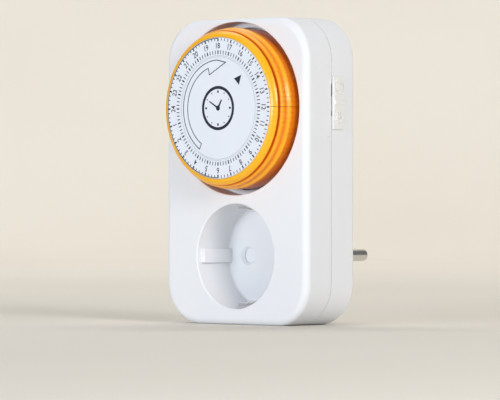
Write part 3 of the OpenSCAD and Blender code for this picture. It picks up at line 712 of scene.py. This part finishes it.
def stroke(bm, pts, w):
    """A printed line of width w through the points (x, z), closed."""
    k = len(pts)
    inner, outer = [], []
    for i in range(k):
        a, b = Vector(pts[i - 1]), Vector(pts[(i + 1) % k])
        p = Vector(pts[i])
        u, v = (p - a).normalized(), (b - p).normalized()
        nrm = Vector((-(u + v).y, (u + v).x))
        if nrm.length < 1e-6:
            nrm = Vector((-u.y, u.x))
        nrm.normalize()
        c = max(0.35, nrm.dot(Vector((-u.y, u.x))))
        inner.append(p - nrm * w / 2 / c)
        outer.append(p + nrm * w / 2 / c)
    lo = [[bm.verts.new((q.x, y, q.y)) for q in ring] for ring in (inner, outer) for y in (INK_Y0, INK_Y1)]
    i0, i1, o0, o1 = lo
    for i in range(k):
        j = (i + 1) % k
        bm.faces.new((i0[i], i0[j], o0[j], o0[i]))
        bm.faces.new((i1[i], o1[i], o1[j], i1[j]))
        bm.faces.new((i0[i], i1[i], i1[j], i0[j]))
        bm.faces.new((o0[i], o0[j], o1[j], o1[i]))


# scale: hour and quarter ticks on both edges of the ring
bm = bmesh.new()
for q in range(96):
    a = q * 3.75
    bold = q % 4 == 0
    add_tick(bm, 20.2, 21.6, a, 0.55 if bold else 0.34)
    add_tick(bm, 24.95 if bold else 25.2, 26.2, a, 0.6 if bold else 0.34)
# night arc from 18 over 24 to 6
add_band(bm, 25.95, 26.25, 90, 270, 96)
to_object("print_scale", bm, "dial", INK, False)


def text_mesh(body_text, size):
    cu = bpy.data.curves.new("numeral", "FONT")
    cu.body = body_text
    cu.size = size
    cu.align_x = "CENTER"
    cu.align_y = "CENTER"
    cu.resolution_u = 4
    cu.offset = 0.035
    ob = bpy.data.objects.new("numeral", cu)
    bpy.context.scene.collection.objects.link(ob)
    dg = bpy.context.evaluated_depsgraph_get()
    me = bpy.data.meshes.new_from_object(ob.evaluated_get(dg))
    bpy.data.objects.remove(ob)
    bpy.data.curves.remove(cu)
    return me


bm = bmesh.new()
for h in range(1, 25):
    me = text_mesh(str(h), 3.0)
    xs = [v.co.x for v in me.vertices]
    ys = [v.co.y for v in me.vertices]
    cx, cy = (min(xs) + max(xs)) / 2, (min(ys) + max(ys)) / 2
    a = (h - 12) * 15.0
    ca, sa = math.cos(math.radians(a)), math.sin(math.radians(a))
    vs = []
    for v in me.vertices:
        t = (v.co.x - cx) * 0.86      # along the ring, to the reader's right
        r = 23.4 + (v.co.y - cy)      # tops point outwards
        x, z = r * ca + t * sa, r * sa - t * ca
        vs.append(bm.verts.new((DIAL[0] + x, INK_Y0, DIAL[1] + z)))
    fs = []
    for p in me.polygons:
        try:
            fs.append(bm.faces.new([vs[i] for i in p.vertices]))
        except ValueError:
            pass
    ext = bmesh.ops.extrude_face_region(bm, geom=fs)
    for g in ext["geom"]:
        if isinstance(g, bmesh.types.BMVert):
            g.co.y = INK_Y1
    bpy.data.meshes.remove(me)
to_object("print_numerals", bm, "dial", INK, False)

# centre disc: hairline rim, outlined arrow, pointer
bm = bmesh.new()
arrow = [polar(18.0, 238 - (238 - 92) * i / 40.0) for i in range(41)]
arrow += [polar(17.5, 77.0), polar(13.3, 109.4), polar(15.75, 108.5)]
arrow += [polar(15.8, 112 + (237 - 112) * i / 34.0) for i in range(35)]
stroke(bm, arrow, 0.34)
to_object("print_arrow", bm, "root", INK, False)
bm = bmesh.new()
c, s = math.cos(math.radians(45.5)), math.sin(math.radians(45.5))
tri = []
for r, t in ((17.1, 0.0), (13.6, 1.75), (13.6, -1.75)):
    tri.append((DIAL[0] + r * c - t * s, DIAL[1] + r * s + t * c))
add_prism(bm, tri, INK_Y0, INK_Y1)
# a plain clock pictogram in the middle
ring_band(bm, 7.15, 8.3, 128)
for k in range(12):
    add_tick(bm, 5.7 if k % 3 == 0 else 6.1, 6.6, k * 30, 0.75 if k % 3 == 0 else 0.4)
for a, ln, w in ((60.0, 3.6, 1.0), (150.0, 5.2, 0.75)):
    ca, sa = math.cos(math.radians(a)), math.sin(math.radians(a))
    p = []
    for r, t in ((-0.9, -w / 2), (ln, -w / 2 * 0.6), (ln, w / 2 * 0.6), (-0.9, w / 2)):
        p.append((DIAL[0] + r * ca - t * sa, DIAL[1] + r * sa + t * ca))
    add_prism(bm, p, INK_Y0 - (0.004 if a > 100 else 0.0), INK_Y1)
ring_band(bm, 0.0, 1.0, 32, DIAL, INK_Y0 - 0.008, INK_Y1)
to_object("print_marks", bm, "root", INK, False)
bm = bmesh.new()
ring_band(bm, 19.05, 19.2, 200)
to_object("print_hairline", bm, "root", INK_GREY, False)


# ------------------------------------------------------------------ slide button
def add_soft_box(bm, x0, x1, y0, y1, z0, z1, b, faces_x=True):
    """A box whose +X edges and corners are rounded by b."""
    base = rounded([(y0, z0), (y1, z0), (y1, z1), (y0, z1)], b * 1.2, 4)
    k = 4
    loops = [[(x0, y, z) for y, z in base], [(x1 - b, y, z) for y, z in base]]
    for i in range(1, k + 1):
        t = math.radians(90.0 * i / k)
        ins = b * (1 - math.cos(t))
        lp = rounded([(y0 + ins, z0 + ins), (y1 - ins, z0 + ins), (y1 - ins, z1 - ins), (y0 + ins, z1 - ins)], max(0.02, b * 1.2 - ins), 4)
        loops.append([(x1 - b + b * math.sin(t), y, z) for y, z in lp])
    add_loft(bm, loops)


def ring_x(bm, y, z, r0, r1, x0, x1, n=40):
    """A raised ring with a rounded top, about the X axis."""
    rm, hw = (r0 + r1) / 2, (r1 - r0) / 2
    prof = [(r0, x0), (r0, x1 - hw)] + [(rm - hw * math.cos(math.radians(t)), x1 - hw + hw * math.sin(math.radians(t))) for t in (30, 60, 90, 120, 150)] + [(r1, x1 - hw), (r1, x0)]
    rows = []
    for i in range(n):
        a = 2 * math.pi * i / n
        rows.append([bm.verts.new((x, y + r * math.cos(a), z + r * math.sin(a))) for r, x in prof])
    m = len(prof)
    for i in range(n):
        p, q = rows[i], rows[(i + 1) % n]
        for k in range(m):
            k2 = (k + 1) % m
            bm.faces.new((p[k], p[k2], q[k2], q[k]))


def build_slider():
    x0 = W / 2 + 0.1
    zb, zt = THUMB_Z - THUMB_H / 2, THUMB_Z + THUMB_H / 2
    y0, y1 = PART + 0.3, -7.3
    bm = bmesh.new()
    add_soft_box(bm, x0, x0 + 0.85, PART + 0.14, y1, zb, zt, 0.26)
    # plateau and grip rib, with the nub at its rear end
    add_soft_box(bm, x0 + 0.5, x0 + 1.02, y0 + 0.15, y1 - 0.1, THUMB_Z - 2.7, THUMB_Z + 2.5, 0.12)
    add_soft_box(bm, x0 + 0.5, x0 + 1.5, y0 + 0.12, y1 - 0.02, THUMB_Z - 0.85, THUMB_Z + 0.85, 0.34)
    add_soft_box(bm, x0, x0 + 1.2, -7.7, -6.2, THUMB_Z - 0.75, THUMB_Z + 0.7, 0.3)
    # upper sign: an open ring between two bowed brackets
    z = THUMB_Z + 5.9
    yc = -10.3
    ring_x(bm, yc, z, 1.3, 1.9, x0 + 0.6, x0 + 1.48)
    for sg in (-1, 1):
        pts_o = [(yc + sg * 2.62 * math.cos(math.radians(t)), z + 3.1 * math.sin(math.radians(t))) for t in range(-72, 73, 12)]
        pts_i = [(yc + sg * 2.3 * math.cos(math.radians(t)), z + 2.8 * math.sin(math.radians(t))) for t in range(72, -73, -12)]
        add_prism_x(bm, pts_o + pts_i, x0 + 0.7, x0 + 1.24)
    # lower sign: a toothed dial with two hands
    z = THUMB_Z - 5.7
    ring_x(bm, yc, z, 1.35, 1.8, x0 + 0.6, x0 + 1.44)
    for k in range(12):
        a = math.radians(30 * k)
        pts = []
        for r, t in ((1.7, -0.2), (2.45, -0.14), (2.45, 0.14), (1.7, 0.2)):
            pts.append((yc + r * math.cos(a) - t * math.sin(a), z + r * math.sin(a) + t * math.cos(a)))
        add_prism_x(bm, pts, x0 + 0.7, x0 + 1.26)
    for (ya, za, yb, zb2) in ((yc - 0.17, z - 0.15, yc + 0.17, z + 1.25), (yc - 0.15, z - 0.18, yc + 1.1, z + 0.16)):
        add_soft_box(bm, x0 + 0.7, x0 + 1.4, ya, yb, za, zb2, 0.1)
    # stem, inner plate with its notches, and the wedge
    add_box(bm, 34, x0 + 0.4, y0, -11, THUMB_Z - 3.1, THUMB_Z + 2.5)
    plate = [(y0, 46.4), (-9.5, 46.4), (-9.5, 52.4), (-9.9, 52.7), (-10.05, 53.2), (-9.9, 53.7), (-9.8, 54.0), (-9.8, 56.4), (-10.0, 56.8), (-10.05, 57.2), (-9.8, 57.6), (-9.5, 57.9),
             (-9.5, 58.3), (-9.9, 58.4), (-9.9, 59.9), (-9.5, 60.0), (-9.5, 64.0), (y0, 64.0)]
    add_prism_x(bm, plate, 33.02, 34.18)
    add_prism_x(bm, [(-13.38, 43.12), (-13.38, 49.98), (-10.97, 49.98), (-12.95, 43.12)], 30.82, 33.3)
    to_object("visual_slide_button", bm, "slide_button_body", SWITCH_WHITE, True, ("slide_button",), 40.0)


build_slider()


# ------------------------------------------------------------------ plug pins, screws, earth parts
bm = bmesh.new()
for s in (-1, 1):
    prof = [(0, 10.8), (2, 10.8), (2, 13.4), (3.4, 13.4), (3.4, 14.95), (2.2, 14.95), (2.2, BOSS), (PIN_R, BOSS + 0.02)]
    prof += [(PIN_R, BOSS + PIN_L - 1.6)]
    prof += [(PIN_R * math.cos(math.radians(t)) ** 0.8, BOSS + PIN_L - 1.6 + 1.6 * math.sin(math.radians(t))) for t in (12, 26, 40, 54, 66, 77)]
    prof += [(0, BOSS + PIN_L)]
    add_revolve(bm, prof, (s * PX, 0), n=64)
to_object("visual_plug_pins", bm, "root", NICKEL, True, ("plug_pins",), 40.0)

def build_screws():
    both = bmesh.new()
    for p in SCREWS:
        prof = [(0, FRONT + 6.02), (0.7, FRONT + 6.02), (1.42, FRONT + 7.2)]
        y = FRONT + 7.2
        while y < -6.0:
            prof += [(1.42, y + 0.35), (1.15, y + 0.55)]
            y += 0.55
        prof += [(1.2, -5.0), (1.2, -2.48), (2.2, -2.48), (2.55, -2.2)] + arc(1.75, -1.35, 0.82, 0, 80, 5) + [(0, -0.53)]
        bm = bmesh.new()
        add_revolve(bm, prof, p, n=40)
        work = temp(bm, "screw_work")
        w, l = 0.36, 1.5
        cross = [(w, w), (w, l), (-w, l), (-w, w), (-l, w), (-l, -w), (-w, -w), (-w, -l), (w, -l), (w, -w), (l, -w), (l, w)]
        bm = bmesh.new()
        add_prism(bm, [(p[0] + x, p[1] + z) for x, z in cross], -1.7, 0.5)
        boolean(work, temp(bm))
        both.from_mesh(work.data)
        bpy.data.objects.remove(work)
    to_object("visual_case_screws", both, "root", SCREW, True, ("case_screws",), 40.0)


build_screws()


def add_strip(bm, path, w, t):
    """A bent strip: path of (y, z) centre points, width w along X, thickness t, rounded edges."""
    k = len(path)
    left, right = [], []
    for i in range(k):
        a = Vector(path[max(0, i - 1)])
        b = Vector(path[min(k - 1, i + 1)])
        d = (b - a).normalized()
        n = Vector((-d.y, d.x))
        p = Vector(path[i])
        left.append(p + n * t / 2)
        right.append(p - n * t / 2)
    outline = [(q.x, q.y) for q in left] + [(q.x, q.y) for q in right[::-1]]
    bev = 0.12
    loops = []
    ins = inset_outline(outline, bev * 0.7)
    loops.append([(-w / 2, y, z) for y, z in ins])
    loops.append([(-w / 2 + bev, y, z) for y, z in outline])
    loops.append([(w / 2 - bev, y, z) for y, z in outline])
    loops.append([(w / 2, y, z) for y, z in ins])
    add_loft(bm, loops)


bm = bmesh.new()
for s in (1, -1):
    path = [(-3.25, 17.85), (-12.0, 17.85), (-14.6, 17.82), (-15.6, 17.6), (-16.3, 17.3), (-17.0, 17.15), (-17.7, 17.3), (-18.4, 17.6),
            (-19.4, 17.82), (-21.6, 17.86), (-22.4, 18.0), (-23.2, 18.5)]
    add_strip(bm, [(y, s * z) for y, z in path], 4.0, 0.62)
to_object("visual_earth_clips", bm, "root", NICKEL, True, ("earth_clips",), 40.0)

bm = bmesh.new()
path = [(15.3, 17.72)] + [(-2.2, 17.72)] + [(-2.55, 17.6), (-2.75, 17.3)] + [(-2.8, 16.9)]
full = [(y, z) for y, z in path] + [(-2.8, 0.0)] + [(y, -z) for y, z in path[::-1]]
add_strip(bm, full, 5.0, 0.78)
to_object("visual_earth_strap", bm, "root", NICKEL, True, ("earth_strap",), 40.0)

# safety shutter with eased edges
bm = bmesh.new()
add_revolve(bm, rounded([(0, CUP + 0.2), (13, CUP + 0.2), (13, CUP + 1.4), (2.7, CUP + 1.4), (2.7, CUP + 2.7), (0, CUP + 2.7)], [0, 0.2, 0.2, 0.3, 0.2, 0], 4), (0, 0), n=128)
sh = temp(bm, "shutter_work")
for (cx, cz), r in (((0.0, 0.0), 2.06), ((PX * math.cos(math.radians(35)), PX * math.sin(math.radians(35))), 3.1),
                    ((-PX * math.cos(math.radians(35)), -PX * math.sin(math.radians(35))), 3.1)):
    bm = bmesh.new()
    cyl_y(bm, (cx, cz), r, CUP - 1, CUP + 4, 48)
    boolean(sh, temp(bm))
finish_boolean("visual_shutter", sh, "shutter_body", INNER_WHITE, ("shutter",), 40.0)


# ------------------------------------------------------------------ stage and light
def stage_mesh():
    bm = bmesh.new()
    z0 = -25.7
    prof = [(-2500.0, z0), (1600.0, z0)]
    prof += [(1600 + 800 * math.sin(math.radians(t)), z0 + 800 * (1 - math.cos(math.radians(t)))) for t in range(6, 91, 6)]
    prof += [(2400.0, 4200.0)]
    # the wall runs square to the view direction
    u = Vector((-0.685, 0.7285))
    r = Vector((0.7285, 0.685))
    rows = []
    for d, z in prof:
        rows.append([bm.verts.new((u.x * d + r.x * s, u.y * d + r.y * s, z)) for s in (-4500.0, 4500.0)])
    for p, q in zip(rows, rows[1:]):
        bm.faces.new((p[0], p[1], q[1], q[0]))
    for v in bm.verts:
        v.co *= MM
    me = bpy.data.meshes.new("studio_floor")
    bm.to_mesh(me)
    bm.free()
    me.shade_smooth()
    ob = bpy.data.objects.new("studio_floor", me)
    bpy.context.scene.collection.objects.link(ob)
    m, nt, b = new_mat("studio_paper")
    tc = nt.nodes.new("ShaderNodeTexCoord")
    n = node(nt, "ShaderNodeTexNoise", Scale=3.0, Detail=3.0)
    nt.links.new(tc.outputs["Object"], n.inputs["Vector"])
    rc = ramp(nt, n.outputs["Fac"], [(0.3, srgb(226, 221, 212)), (0.7, srgb(230, 226, 218))])
    nt.links.new(rc.outputs["Color"], b.inputs["Base Color"])
    b.inputs["Roughness"].default_value = 0.9
    b.inputs["Specular IOR Level"].default_value = 0.1
    me.materials.append(m)
    return ob


stage_mesh()


def area(name, loc, target, size, size_y, power, col=(1, 1, 1)):
    l = bpy.data.lights.new(name, "AREA")
    l.shape = "RECTANGLE"
    l.size, l.size_y = size, size_y
    l.energy = power
    l.color = col
    ob = bpy.data.objects.new(name, l)
    bpy.context.scene.collection.objects.link(ob)
    ob.location = loc
    ob.rotation_euler = (Vector(target) - Vector(loc)).to_track_quat("-Z", "Y").to_euler()
    return ob


CENTRE = (0.0, -0.02, 0.035)
area("key", (1.35, -0.46, 0.5), CENTRE, 0.5, 0.5, 11.9, (1.0, 0.985, 0.96))
area("front_fill", (0.05, -1.7, 0.1), CENTRE, 0.9, 0.45, 19.0, (0.86, 0.92, 1.0))
area("top", (0.1, -0.3, 1.4), CENTRE, 0.9, 0.9, 1.5, (1.0, 1.0, 1.0))
area("backdrop", (-0.75, 0.8, 2.2), (-1.45, 1.54, 0.1), 3.0, 0.8, 42.0, (1.0, 0.97, 0.92))
world = bpy.data.worlds.new("studio_air")
world.use_nodes = True
bg = world.node_tree.nodes["Background"]
bg.inputs["Color"].default_value = (0.92, 0.95, 1.0, 1)
bg.inputs["Strength"].default_value = 0.2
bpy.context.scene.world = world
bpy.context.scene.view_settings.view_transform = "Standard"
bpy.context.scene.view_settings.look = "None"
bpy.context.scene.view_settings.exposure = 0.0
